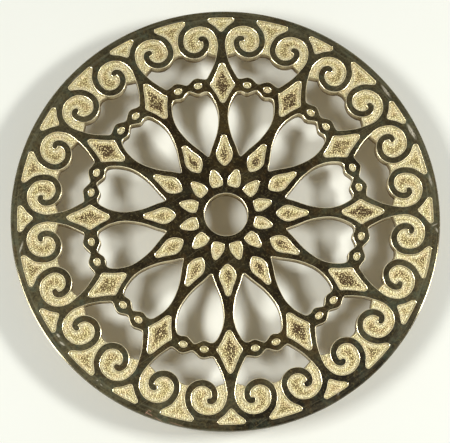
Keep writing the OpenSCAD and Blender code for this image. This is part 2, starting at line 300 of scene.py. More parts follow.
petal = smooth_edge(petal_side(sized(PETAL_SHARE, petal_r, petal_l, petal_w)
                               + [eye_centre + polar(EYE_RING_R, a) for a in PETAL_RING_ANGLES]
                               + [(petal_end, 0)]), PETAL_LINE, PETAL_LINE)

ring_centre = polar(eye_r, PETAL_LINE - eye_angle)
tracery_points = (
    [polar(RIM_IN_R, PETAL_LINE), polar(RIM_IN_R, SPANDREL_RIM_ANGLE)]
    + scroll_points(SPANDREL_CORNER_SHARE)[::-1]
    + [stroke_point(i, -90) for i in range(CORNER_POINT, HOOK_POINT + 1)]
    + [stroke_point(HOOK_POINT, a) for a in HOOK_ANGLES]
    + [stroke_point(i, 90) for i in range(HOOK_POINT - 1, GROUND_POINT - 1, -1)]
    + scroll_points(SCROLL_GROUND_SHARE)[::-1]
    + sized(STEM_SIDE_SHARE, lozenge_r + LOZENGE_L / 2, LOZENGE_L, lozenge_w)[::-1]
    + [ring_centre + polar(EYE_RING_R, PETAL_LINE - a) for a in BAY_RING_ANGLES][::-1]
    + [polar(eye_r + EYE_BAR_W / 2, PETAL_LINE)])
tracery = smooth_edge(tracery_points, PETAL_LINE, PETAL_LINE)
first_stroke = 2 + len(SPANDREL_CORNER_SHARE) - CORNER_POINT
tail = tracery.marks[first_stroke + TAIL_POINT]
mouth_at_stroke = tracery.marks[first_stroke + MOUTH_POINT]
mouth_at_stem = tracery.marks[-1 - 1 - len(BAY_RING_ANGLES) - len(STEM_SIDE_SHARE)]
bay_end = polar(length_of(scroll_centre) - BAY_END_SHARE * scroll_r, PETAL_LINE)
mouth_line = smooth_edge([tracery.points[mouth_at_stroke], tracery.points[mouth_at_stem]])
tail_line = smooth_edge([bay_end, tracery.points[tail]], PETAL_LINE)


# What the triangulation is asked for, triangles inside the borders, and how near is the same point
TRIANGLES_INSIDE = 2
SAME_POINT = 1e-7


class Casting:
    """Half a sector of the plate, as points and faces, with what the finishes need to know."""

    def __init__(self):
        self.points, self.worn, self.inset, self.grime, self.faces, self.finish = [], [], [], [], [], []

    def row(self, flat_points, z, worn=0.0, inset=0.0):
        """New points at a height, as a list of their numbers."""
        first = len(self.points)
        for x, y in flat_points:
            self.points.append((x, y, z))
            self.worn.append(worn)
            self.inset.append(inset)
            self.grime.append(0.0)
        return list(range(first, len(self.points)))

    def strip(self, upper, lower, finish, closed=False):
        """Faces between two rows of points."""
        if closed:
            upper, lower = upper + upper[:1], lower + lower[:1]
        for i in range(len(upper) - 1):
            face = list(dict.fromkeys((upper[i], lower[i], lower[i + 1], upper[i + 1])))
            if len(face) > 2:
                self.faces.append(face)
                self.finish.append(finish)

    def flat(self, borders, finish, inner=(), up=True):
        """Triangles between closed borders of points, through the inner points."""
        ids = [v for border in borders for v in border] + list(inner)
        place = {v: i for i, v in enumerate(ids)}
        edges = []
        for border in borders:
            edges += [(place[a], place[b]) for a, b in zip(border, border[1:] + border[:1])]
        flat_points = [Vector(self.points[v][:2]) for v in ids]
        _, _, faces, origin, _, _ = delaunay_2d_cdt(flat_points, edges, [], TRIANGLES_INSIDE, SAME_POINT)
        holes = [np.array([self.points[v][:2] for v in hole]) for hole in borders[1:]]
        for face in faces:
            corners = [ids[origin[v][0]] for v in face]
            a, b, c = (np.array(self.points[v][:2]) for v in corners[:3])
            middle = np.array([(a + b + c) / 3])
            if any(is_inside(middle, hole)[0] for hole in holes):
                continue
            anticlockwise = (b - a)[0] * (c - a)[1] - (b - a)[1] * (c - a)[0] > 0
            self.faces.append(corners if anticlockwise == up else corners[::-1])
            self.finish.append(finish)


# The finishes of the plate's faces
RAISED, BARE, STIPPLED, UNDER = range(4)
half = Casting()

# Rows of points down the walls: how far out each is, its height, and how worn it is
WALL_ROWS = ((DRAFT, PLATE_BOTTOM + UNDER_ROUND, WALL_WORN),
             (DRAFT - UNDER_ROUND, PLATE_BOTTOM, WALL_UNDER_WORN))
OPEN_ROWS = [(out, GROUND_Z - down) for out, down in OPEN_EDGE] + [
    (OPEN_WALL_OUT, PLATE_BOTTOM + UNDER_ROUND), (OPEN_WALL_OUT - UNDER_ROUND, PLATE_BOTTOM)]


def edge_rows(edge, closed=False):
    """The rounded edge of the raised face."""
    rows = []
    for a in EDGE_ANGLES:
        up, out = polar(EDGE_ROUND, a)
        line = edge.at(EDGE_OUT - EDGE_ROUND + out)
        rows.append(half.row(line, PLATE_TOP - EDGE_ROUND + up, worn=a / 90))
    half.strip(rows[0], rows[1], RAISED, closed)
    half.strip(rows[1], rows[2], BARE, closed)
    return rows


def through_wall(edge, rows):
    """The wall of an opening, down to the underside."""
    walls = [half.row(edge.at(out), z, worn) for out, z, worn in WALL_ROWS]
    half.strip(rows[-1], walls[0], BARE)
    half.strip(walls[0], walls[1], UNDER)
    return walls[-1]


def ground_wall(edge, rows, closed=False):
    """The wall of a sunk ground, with the fillet at its foot."""
    foot = half.row(edge.at(GROUND_OUT), GROUND_Z + GROUND_FILLET, worn=1)
    low = half.row(edge.at(GROUND_OUT + GROUND_FILLET), GROUND_Z, worn=1, inset=GROUND_FILLET)
    half.strip(rows[-1], foot, STIPPLED, closed)
    half.strip(foot, low, STIPPLED, closed)
    return low


def line_points(a, b, line):
    """Points on a line through the middle, between two radii."""
    n = max(1, round(abs(b - a) / STIPPLE_PITCH))
    return [polar(r, line) for r in np.linspace(a, b, n + 1)[1:-1]]


def distance_to(points, ends):
    """How far each point is from the nearest straight piece of a line."""
    a, b = ends[:-1], ends[1:]
    way = b - a
    t = np.clip(((points[:, None] - a) * way).sum(2) / (way * way).sum(1), 0, 1)
    return np.linalg.norm(points[:, None] - (a + t[..., None] * way), axis=2).min(1)


def is_inside(points, border):
    """Which points lie inside a closed border."""
    x, y = points[:, :1], points[:, 1:]
    a, b = border, np.roll(border, -1, axis=0)
    crosses = (a[:, 1] > y) != (b[:, 1] > y)
    with np.errstate(divide="ignore", invalid="ignore"):
        at = a[:, 0] + (y - a[:, 1]) / (b[:, 1] - a[:, 1]) * (b[:, 0] - a[:, 0])
    return (crosses & (x < at)).sum(1) % 2 == 1


def floor(border, wall, grime, line=None):
    """A sunk ground inside a border, in points close enough together to take the stipple.

    wall is the part of the border that has a wall, and line the line of mirroring that closes it."""
    if line is not None:
        a, b = (length_of(half.points[border[i]][:2]) for i in (-1, 0))
        border = border + half.row(line_points(a, b, line), GROUND_Z, worn=1)
    outline = np.array([half.points[v][:2] for v in border])
    low, high = outline.min(0), outline.max(0)
    row_pitch = STIPPLE_PITCH * math.sqrt(3 / 4)
    grid = np.array([(x + (j % 2) * STIPPLE_PITCH / 2, y)
                     for j, y in enumerate(np.arange(low[1], high[1], row_pitch))
                     for x in np.arange(low[0], high[0], STIPPLE_PITCH)])
    grid = grid[is_inside(grid, outline)]
    closed = np.vstack([outline, outline[:1]])
    grid = grid[distance_to(grid, closed) > STIPPLE_EDGE_GAP]
    inner = half.row(grid, GROUND_Z, worn=1)
    ids = border + inner
    insets = distance_to(np.array([half.points[v][:2] for v in ids]), wall)
    for v, inset in zip(ids, insets):
        half.inset[v], half.grime[v] = inset, grime
    half.flat([border], STIPPLED, inner)


# Edges all round the grounds that lie on the lozenge and petal lines, and the eye
raised_border = {}
for name, edge, line in (("outer_drop", outer_drop, LOZENGE_LINE), ("lozenge", lozenge, LOZENGE_LINE),
                         ("triangle", triangle, LOZENGE_LINE), ("inner_drop", inner_drop, PETAL_LINE)):
    rows = edge_rows(edge)
    raised_border[name] = rows[0]
    floor(ground_wall(edge, rows), edge.points, GRIME[name], line)

eye_points = turned([(eye_r + EYE_L / 2 * polar(1, a)[0], EYE_W / 2 * polar(1, a)[1])
                     for a in np.linspace(360, 0, EYE_POINTS + 1)[:-1]], PETAL_LINE - eye_angle)
eye = Edge(eye_points, sides_of(eye_points, eye_points[-1], eye_points[0]))
eye_rows = edge_rows(eye, closed=True)
floor(ground_wall(eye, eye_rows, closed=True), eye.points, GRIME["eye"])

# The petal and the centre hole
petal_rows = edge_rows(petal)
petal_under = through_wall(petal, petal_rows)
hub_rows = edge_rows(hub)
hub_under = through_wall(hub, hub_rows)

# The rim's rows of points: how far out and how far down each is, and how worn
rim_profile = [(RIM_ROW_GAP - RIM_W, 0, 0)]
rim_profile += [(out, down, BEVEL_WORN if down else 0) for out, down in RIM_BEVEL]
rim_profile += [(0, RIM_BEVEL_H, 0), (0, PLATE_TOP - PLATE_BOTTOM - UNDER_ROUND, RIM_SIDE_WORN),
                (-UNDER_ROUND, PLATE_TOP - PLATE_BOTTOM, RIM_UNDER_WORN)]
rim_rows = [half.row(rim.at(out), PLATE_TOP - down, worn) for out, down, worn in rim_profile]
for upper, lower in zip(rim_rows, rim_rows[1:]):
    half.strip(upper, lower, UNDER if lower is rim_rows[-1] else RAISED)
rim_under = rim_rows[-1]

# The tracery's edge: along the spandrel, down the bay, through the scroll and along the stem
tracery_rows = edge_rows(tracery)

# Where a ground's open edge meets the tracery: a point on the ground, then those down the wall below it
corner = {}
for name, i, other in (("tail", tail, tail_line), ("stroke", mouth_at_stroke, mouth_line),
                       ("stem", mouth_at_stem, mouth_line)):
    at, side = tracery.points[i], tracery.side[i]
    way = other.side[0 if name == "stroke" else -1]
    corner[name] = half.row([at], GROUND_Z, worn=1)
    for open_out, z in OPEN_ROWS:
        low = (GROUND_Z - z) / (GROUND_Z - WALL_ROWS[0][1])
        out = DRAFT * low if low <= 1 else WALL_ROWS[1][0]
        place = at + np.linalg.solve(np.array([side, way]), [out, open_out])
        corner[name] += half.row([place], z, WALL_WORN)


def tracery_wall(a, b, first, last):
    """The wall of a bay, from one corner to another or, where last is None, to the tracery's end."""
    upper = tracery_rows[-1][a:b + 1] if last else tracery_rows[-1][a:]
    lines = [half.row(tracery.at(out)[a + 1:b], z, worn) for out, z, worn in WALL_ROWS]
    for name, start in ((first, True), (last, False)):
        if name is None:
            continue
        face = [upper[0 if start else -1]] + corner[name][:-1]
        half.faces.append(face if start else face[::-1])
        half.finish.append(BARE)
        for line, v in zip(lines, corner[name][-2:]):
            line.insert(0 if start else len(line), v)
    half.strip(upper, lines[0], BARE)
    half.strip(lines[0], lines[1], UNDER)
    return lines[1]


def tracery_ground(a, b, first, last):
    """The wall of a ground, to a corner from another or, where first is None, from the tracery's start."""
    def line(out, z, inset):
        made = half.row(tracery.at(out)[a + 1 if first else 0:b], z, 1, inset)
        return (corner[first][:1] if first else []) + made + corner[last][:1]
    upper = tracery_rows[-1][a:b + 1]
    foot = line(GROUND_OUT, GROUND_Z + GROUND_FILLET, 0)
    low = line(GROUND_OUT + GROUND_FILLET, GROUND_Z, GROUND_FILLET)
    half.strip(upper, foot, STIPPLED)
    half.strip(foot, low, STIPPLED)
    return low


def open_side(edge, first, last):
    """The edge of a ground over a bay, from one corner, or none where first is None, to another."""
    inside = slice(1 if first else 0, -1)
    lines = [half.row(edge.points[inside], GROUND_Z, worn=1)]
    for out, z in OPEN_ROWS:
        lines.append(half.row(edge.at(out)[inside], z, WALL_WORN, inset=GROUND_FILLET))
    for k, line in enumerate(lines):
        line.append(corner[last][k])
        if first:
            line.insert(0, corner[first][k])
    for upper, lower, finish in zip(lines, lines[1:], (STIPPLED, STIPPLED, BARE, UNDER)):
        half.strip(upper, lower, finish)
    return lines[0], lines[-1]


spandrel_low = tracery_ground(0, tail, None, "tail")
bay_under_a = tracery_wall(tail, mouth_at_stroke, "tail", "stroke")
scroll_low = tracery_ground(mouth_at_stroke, mouth_at_stem, "stroke", "stem")
bay_under_b = tracery_wall(mouth_at_stem, None, "stem", None)
tail_top, tail_under = open_side(tail_line, None, "tail")
mouth_top, mouth_under = open_side(mouth_line, "stroke", "stem")
spandrel_wall = tracery.points[:tail + 1]
floor(spandrel_low + tail_top[::-1][1:], spandrel_wall, GRIME["spandrel"], PETAL_LINE)
scroll_wall = tracery.points[mouth_at_stroke:mouth_at_stem + 1]
floor(scroll_low + mouth_top[::-1][1:-1], scroll_wall, GRIME["scroll"])

# The raised face and the underside
half.flat([hub_rows[0][-1:] + raised_border["outer_drop"] + raised_border["lozenge"]
           + raised_border["triangle"] + rim_rows[0] + tracery_rows[0] + petal_rows[0]
           + raised_border["inner_drop"] + hub_rows[0][:-1], eye_rows[0]], RAISED)
half.flat([rim_under + tail_under + bay_under_a[1:] + mouth_under[1:] + bay_under_b[1:]
           + petal_under + hub_under], UNDER, up=False)


def plain_mesh(name, points, faces, **attributes):
    """A mesh in metres, from points in millimetres and attributes as (type, domain, values)."""
    mesh = bpy.data.meshes.new(name)
    mesh.from_pydata([tuple(MM * c for c in p) for p in points], [], faces)
    for key, (kind, domain, values) in attributes.items():
        mesh.attributes.new(key, kind, domain).data.foreach_set("value", values)
    return mesh


def object_of(mesh):
    """A new object in the scene, of a mesh."""
    piece = bpy.data.objects.new(mesh.name, mesh)
    bpy.context.scene.collection.objects.link(piece)
    return piece


# Both halves of a sector
count = len(half.points)
points = half.points + [(x, -y, z) for (x, y, z) in half.points]
faces = half.faces + [[v + count for v in face[::-1]] for face in half.faces]
finish = half.finish * 2
face_heights = [[points[v][2] for v in face] for face in faces]
level = [f in (RAISED, UNDER) and max(z) - min(z) < SAME_POINT for f, z in zip(finish, face_heights)]
sector = plain_mesh(
    "rosette_sector", points, faces,
    worn=("FLOAT", "POINT", half.worn * 2),
    inset=("FLOAT", "POINT", half.inset * 2),
    grime=("FLOAT", "POINT", half.grime * 2),
    finish=("INT", "FACE", finish),
    sharp_face=("BOOLEAN", "FACE", level))


# Materials
class Socket:
    """A socket of a material, for use in sums."""

    def __init__(self, paint, out):
        self.paint, self.out = paint, out

    def math(self, operation, *values):
        return self.paint.node("ShaderNodeMath", {"operation": operation}, *values)

    def __add__(self, other):
        return self.math("ADD", self, other)

    def __sub__(self, other):
        return self.math("SUBTRACT", self, other)

    def __rsub__(self, other):
        return self.math("SUBTRACT", other, self)

    def __mul__(self, other):
        return self.math("MULTIPLY", self, other)

    def __truediv__(self, other):
        return self.math("DIVIDE", self, other)

    def over(self, low, high):
        """0 below low, 1 above high, and a soft step between."""
        return self.paint.node("ShaderNodeMapRange", {"interpolation_type": "SMOOTHSTEP"}, self, low, high)

    __radd__, __rmul__ = __add__, __mul__


class Paint:
    """A material made of named nodes."""

    def __init__(self, name, **plain):
        self.material = bpy.data.materials.new(name)
        self.material.use_nodes = True
        self.tree = self.material.node_tree
        self.shader = self.tree.nodes["Principled BSDF"]
        self.set(**plain)
        self.place = self.node("ShaderNodeTexCoord", {}, output="Object")

    def put(self, socket, value):
        """Links a socket or sets its value."""
        if isinstance(value, Socket):
            self.tree.links.new(value.out, socket)
        elif socket.type == "RGBA" and len(value) == 3:
            socket.default_value = (*value, 1)
        else:
            socket.default_value = value

    def node(self, kind, settings, *values, output=None, **named):
        """A new node's first output, or the one named. Inputs are given in their order, or by name."""
        made = self.tree.nodes.new(kind)
        for key, value in settings.items():
            setattr(made, key, value)
        inputs = [s for s in made.inputs if s.enabled]
        for socket, value in zip(inputs, values):
            self.put(socket, value)
        for key, value in named.items():
            self.put(next(s for s in inputs if s.name == key.replace("_", " ")), value)
        return Socket(self, next(s for s in made.outputs if s.enabled and output in (None, s.name)))

    def noise(self, size, detail=2.0, roughness=0.5, place=None):
        """Soft cloudy variation between 0 and 1, of a size in millimetres."""
        return self.node("ShaderNodeTexNoise", {}, Vector=place or self.place, Scale=1 / (size * MM),
                         Detail=detail, Roughness=roughness)

    def stretched(self, angle, sizes):
        """The object's place, turned about Z and stretched."""
        return self.node("ShaderNodeMapping", {"vector_type": "TEXTURE"}, Vector=self.place,
                         Rotation=(0, 0, math.radians(angle)), Scale=sizes)

    def mix(self, share, a, b):
        return self.node("ShaderNodeMix", {"data_type": "RGBA"}, Factor=share, A=a, B=b)

    def value(self, name):
        return self.node("ShaderNodeAttribute", {"attribute_name": name}, output="Fac")

    def set(self, **values):
        """Gives the shader's sockets a value or a link, by name."""
        for key, value in values.items():
            self.put(self.shader.inputs[key.replace("_", " ")], value)

    def bump(self, height, depth, strength=1.0):
        """Relief of a depth in millimetres."""
        return self.node("ShaderNodeBump", {}, Height=height, Distance=depth * MM, Strength=strength)

    def length(self, place):
        return self.node("ShaderNodeVectorMath", {"operation": "LENGTH"}, place, output="Value")

    def coordinate(self, axis):
        return self.node("ShaderNodeSeparateXYZ", {}, self.place, output=axis)

    def larger(self, a, b):
        return self.node("ShaderNodeMath", {"operation": "MAXIMUM"}, a, b)


def screen(r, g, b):
    """A colour as seen on a screen, 0 to 255, as the light that it stands for."""
    return tuple(c / 255 / 12.92 if c / 255 <= 0.04045 else ((c / 255 + 0.055) / 1.055) ** 2.4
                 for c in (r, g, b))


BRIGHT_BRASS = screen(250, 238, 200)
PALE_SCUFF, RED_SCUFF = screen(184, 178, 160), screen(156, 120, 102)

# Scuffs on the rim: angle, distance from the middle, half length, half width, slant, and strength
PALE_SCUFFS = (
    (23.3, 98.2, 4.9, 1.2, 4, 0.9), (36.9, 98.7, 4.6, 0.9, -3, 0.75), (8.4, 99.0, 3.6, 0.8, 5, 0.5),
    (188.1, 97.4, 3.4, 0.6, -24, 0.7), (215.1, 96.7, 1.3, 0.7, 10, 0.8), (217.5, 97.5, 1.9, 0.6, 14, 0.8),
    (231.4, 98.2, 0.7, 0.4, 20, 0.5), (233.0, 98.7, 0.9, 0.3, -10, 0.5), (355.8, 98.8, 2.0, 0.4, -60, 0.5),
    (354.4, 100.0, 1.5, 0.6, 30, 0.6), (135.5, 98.4, 4.0, 0.7, 0, 0.35), (161.0, 98.6, 1.2, 0.5, 0, 0.4),
    (300.0, 98.8, 1.2, 0.5, 40, 0.4))
RED_SCUFFS = (
    (247.1, 99.7, 1.4, 0.32, 70, 0.8), (247.7, 98.5, 1.1, 0.32, -9, 0.8),
    (247.5, 99.9, 1.6, 0.36, -10, 0.8), (248.4, 100.1, 1.1, 0.3, -20, 0.7),
    (250.7, 100.9, 3.0, 0.3, -14, 0.6), (255.3, 100.7, 4.8, 0.25, -3, 0.5))

# The direction, as an angle, towards which painted shade darkens the raised face and its rim streaks turn
# browner
FRONT_SHADE_ANGLE = 300


def scuffed(p, colour, scuffs, tint):
    """A colour with short bundles of scratches over it."""
    for angle, r, half_l, half_w, slant, amount in scuffs:
        at = p.node("ShaderNodeMapping", {"vector_type": "TEXTURE"}, Vector=p.place,
                    Location=(*polar(r * MM, angle), PLATE_TOP * MM),
                    Rotation=(0, 0, math.radians(angle + 90 + slant)), Scale=(half_l * MM, half_w * MM, 1))
        lines = p.node("ShaderNodeTexNoise", {}, Vector=at, Scale=2.2, Detail=3.0, Roughness=0.6)
        inside = 1 - p.length(at).over(0.3, 1.1)
        colour = p.mix(inside * lines.over(0.36, 0.56) * amount, colour, tint)
    return colour


def rim_streaks(p, radius):
    """Fine streaks that run round the rim, where it was turned."""
    way = p.node("ShaderNodeVectorMath", {"operation": "NORMALIZE"}, p.place)
    along = p.node("ShaderNodeVectorMath", {"operation": "SCALE"}, Vector=way, Scale=6.0)
    across_rim = p.node("ShaderNodeCombineXYZ", {}, 0.0, 0.0, radius / (0.9 * MM))
    ringed = p.node("ShaderNodeVectorMath", {"operation": "ADD"}, along, across_rim)
    streaks = p.node("ShaderNodeTexNoise", {}, Vector=ringed, Scale=1.0, Detail=2.0).over(0.42, 0.72)
    return streaks * radius.over(98 * MM, 99 * MM)


def patina():
    """Dark polished patina with bare brass on the rounded edges. Painted sheen lightens it towards the rim
    and on the left and right sides, and painted shade darkens it towards the front right.
    """
    p = Paint("dark_patina", Metallic=0.9)
    radius = p.length(p.place)
    # Masks by place: painted sheen, lighter and greyer towards the rim and on the left and right sides
    # where the lamps are, and a little darkening towards the front middle
    rimward_sheen = radius.over(5 * MM, PLATE_R * MM)
    middle = 1 - radius.over(60 * MM, 90 * MM)
    # Painted shade towards the front right, which also tints the rim streaks browner there
    front_shade_and_tint = p.node("ShaderNodeVectorMath", {"operation": "DOT_PRODUCT"}, p.place,
                        (*polar(1, FRONT_SHADE_ANGLE), 0.0), output="Value").over(70 * MM, 104 * MM)
    front_middle = (0 - p.coordinate("Y")).over(12 * MM, 60 * MM) * middle
    side_sheen = p.node("ShaderNodeMath", {"operation": "ABSOLUTE"}, p.coordinate("X")).over(18 * MM, 58 * MM)
    grey_sheen = p.larger(1 - middle, side_sheen * 0.95)

    cloud = p.noise(14, 4)
    smear = p.noise(4, 3, 0.6, place=p.stretched(70, (0.6, 2.2, 1)))
    # How thin the patina shows: its own cloudy and smeared variation, plus painted sheen towards the rim,
    # painted shade towards the front right, and a little darkening towards the front middle
    patina_sheen_and_shade = rimward_sheen * 0.52 + cloud * 1.1 + smear * 0.8 - 0.88 - front_shade_and_tint * 0.68 - front_middle * 0.1
    thin_patina = p.mix(grey_sheen, screen(77, 62, 27), screen(77, 72, 50))
    thick_patina = p.mix(front_shade_and_tint, screen(25, 18, 5), screen(24, 22, 14))
    colour = p.mix(patina_sheen_and_shade.over(0, 1), thick_patina, thin_patina)

    green_patches = p.noise(7, 3, 0.6).over(0.5, 0.66)
    colour = p.mix(green_patches * (0.14 + grey_sheen * 0.4), colour, screen(57, 66, 53))
    brown_patches = p.noise(5, 3, 0.6, place=p.stretched(20, (1, 1.6, 1))).over(0.54, 0.7)
    colour = p.mix(brown_patches * 0.6, colour, screen(62, 46, 22))
    dark_specks = p.noise(1.3, 3, 0.65).over(0.42, 0.66)
    colour = p.mix(dark_specks * 0.6, colour, screen(30, 24, 14))
    light_specks = p.noise(0.8, 2, 0.6).over(0.52, 0.7)
    colour = p.mix(light_specks * 0.35, colour, screen(106, 96, 62))

    streak = p.mix(front_shade_and_tint, screen(104, 104, 84), screen(84, 77, 60))
    colour = p.mix(rim_streaks(p, radius) * 0.32, colour, streak)
    scratches = p.larger(p.noise(1, 1, place=p.stretched(33, (30, 0.5, 1))).over(0.66, 0.72),
                         p.noise(1, 1, place=p.stretched(-52, (24, 0.4, 1))).over(0.68, 0.73))
    colour = p.mix(scratches * 0.22, colour, screen(120, 112, 88))
    colour = scuffed(p, colour, PALE_SCUFFS, PALE_SCUFF)
    colour = scuffed(p, colour, RED_SCUFFS, RED_SCUFF)

    worn = p.value("worn")
    rubbed = worn.over(0.0, 0.12)
    bevel = rubbed * radius.over(100 * MM, 101 * MM)
    colour = p.mix(bevel * 0.1, colour, BRIGHT_BRASS)
    bare = (worn + (p.noise(2.5, 2) - 0.5) * 0.3).over(0.15, 0.45)
    colour = p.mix(bare, colour, BRIGHT_BRASS)
    p.set(Base_Color=colour,
          Roughness=0.36 + cloud * 0.1 + scratches * 0.1 - rubbed * 0.16 - bevel * 0.15,
          Normal=p.bump(p.noise(0.9, 3, 0.6) * 0.6 - scratches * 0.5, 0.02, 0.5))
    return p.material


def bare_brass():
    """Brass rubbed bright on the rounded edges, and left as cast on the walls of the openings, with painted
    shade lower down the walls.
    """
    p = Paint("bare_brass", Metallic=0.9)
    height = p.coordinate("Z")
    wall = 1 - height.over((PLATE_TOP - 1.1) * MM, (PLATE_TOP - 0.3) * MM)
    low = 1 - height.over(PLATE_BOTTOM * MM, (PLATE_TOP - 2) * MM)
    cloud = p.noise(3.6, 3)
    grain = p.noise(0.8, 3, 0.7)
    # Painted shade: the walls darken lower down towards the underside, mixed with the cast brass's own
    # cloudy variation
    wall_shade_and_cloud = (low * 0.6 + cloud * 0.9).over(0.3, 1.0)
    cast = p.mix(wall_shade_and_cloud, screen(206, 192, 152), screen(112, 92, 60))
    cast = p.mix(grain.over(0.48, 0.68) * 0.6, cast, screen(92, 72, 42))
    p.set(Base_Color=p.mix(wall, screen(252, 242, 208), cast),
          Roughness=0.16 + wall * (0.14 + cloud * 0.2), Normal=p.bump(grain * wall, 0.05, 0.6))
    return p.material


def stippled_gold():
    """Pale stippled grounds, smooth and light along their edges, with old polish left in the middle."""
    p = Paint("stippled_gold", Metallic=0.6)
    inset, grime = p.value("inset"), p.value("grime")
    middle = inset.over(0.7, 3.1)
    core = inset.over(1.5, 3.6)
    pits = p.noise(0.42, 2, 0.75)
    punch = p.node("ShaderNodeTexVoronoi", {"feature": "F1", "voronoi_dimensions": "2D"}, Vector=p.place,
                   Scale=1 / (0.67 * MM), Randomness=0.85, output="Distance")
    patch = p.noise(3.2, 2).over(0.3, 0.62)
    large_patch = p.noise(42, 1).over(0.36, 0.6)
    polish = middle * grime * (0.55 + 0.45 * patch) * (0.6 + 0.4 * large_patch)

    colour = p.mix(middle * 0.7, screen(200, 192, 157), screen(166, 149, 86))
    colour = p.mix(polish * 0.7, colour, screen(170, 138, 62))
    greenish = p.noise(2.6, 3, 0.6).over(0.42, 0.66)
    colour = p.mix(greenish * 0.5, colour, screen(176, 166, 100))
    pinkish = p.noise(3.1, 2, 0.5, place=p.stretched(50, (1, 1.4, 1))).over(0.5, 0.66)
    colour = p.mix(pinkish * 0.22, colour, screen(206, 168, 124))
    bright_tops = (punch - 0.42 + (0.5 - pits) * 0.8).over(0, 0.26)
    colour = p.mix(bright_tops * 0.38, colour, screen(232, 224, 182))
    dark_pits = (0.285 + polish * (0.24 + core * 0.17) + (pits - 0.5) * 0.9 - punch).over(-0.12, 0.09)
    colour = p.mix(dark_pits * (0.56 + 0.42 * polish.over(0.1, 0.85)), colour, screen(56, 37, 8))

    relief = (punch * 0.7 - pits * 0.5) * (0.3 + inset.over(0.3, 1.1))
    p.set(Base_Color=colour, Roughness=0.38 + dark_pits * 0.2, Normal=p.bump(relief, 0.2, 1.0))
    return p.material


def cast_underside():
    """Rough cast brass of the underside and the lower edges, darkened by age."""
    p = Paint("cast_underside", Metallic=0.8)
    cloud = p.noise(9, 4, 0.6)
    grain = p.noise(0.7, 3, 0.7)
    colour = p.mix(cloud.over(0.2, 0.8), screen(168, 142, 90), screen(198, 170, 112))
    colour = p.mix(p.noise(26, 3).over(0.45, 0.7) * 0.5, colour, screen(134, 110, 70))
    colour = p.mix(grain.over(0.52, 0.7) * 0.5, colour, screen(104, 82, 48))
    p.set(Base_Color=colour, Roughness=0.45 + cloud * 0.2, Normal=p.bump(grain, 0.12, 0.8))
    return p.material


def turned_brass():
    """Turned brass of the feet, with fine rings left by the tool."""
    p = Paint("turned_brass", Metallic=0.95)
    rings = p.noise(1, 1.0, place=p.stretched(0, (40, 40, 0.35)))
    cloud = p.noise(4, 3)
    colour = p.mix(cloud.over(0.3, 0.75), screen(196, 168, 104), screen(134, 108, 62))
    p.set(Base_Color=colour, Roughness=0.24 + cloud * 0.2, Normal=p.bump(rings, 0.03, 0.6))
    return p.material


def screw_steel():
    """Satin steel of the foot screws."""
    p = Paint("screw_steel", Metallic=1.0)
    cloud = p.noise(1.5, 3)
    p.set(Base_Color=p.mix(cloud, screen(150, 147, 138), screen(184, 182, 174)),
          Roughness=0.3 + cloud * 0.2, Normal=p.bump(p.noise(0.3, 2), 0.02, 0.5))
    return p.material


def pad_rubber():
    """Matt dark rubber of the pads, with a trace of dust."""
    p = Paint("pad_rubber")
    dust = p.noise(1.8, 4, 0.7)
    p.set(Base_Color=p.mix(dust.over(0.5, 0.8) * 0.5, screen(38, 37, 35), screen(92, 90, 84)),
          Roughness=0.75 + dust * 0.2, Normal=p.bump(p.noise(0.25, 3), 0.04, 0.7))
    return p.material


def pale_paper():
    """The pale smooth sheet that the trivet stands on."""
    p = Paint("pale_paper", Roughness=0.9, Specular_IOR_Level=0.1)
    tone = p.noise(60, 3)
    p.set(Base_Color=p.mix(tone, screen(246, 249, 243), screen(242, 245, 237)),
          Normal=p.bump(p.noise(1.2, 3), 0.02, 0.2))
    return p.material


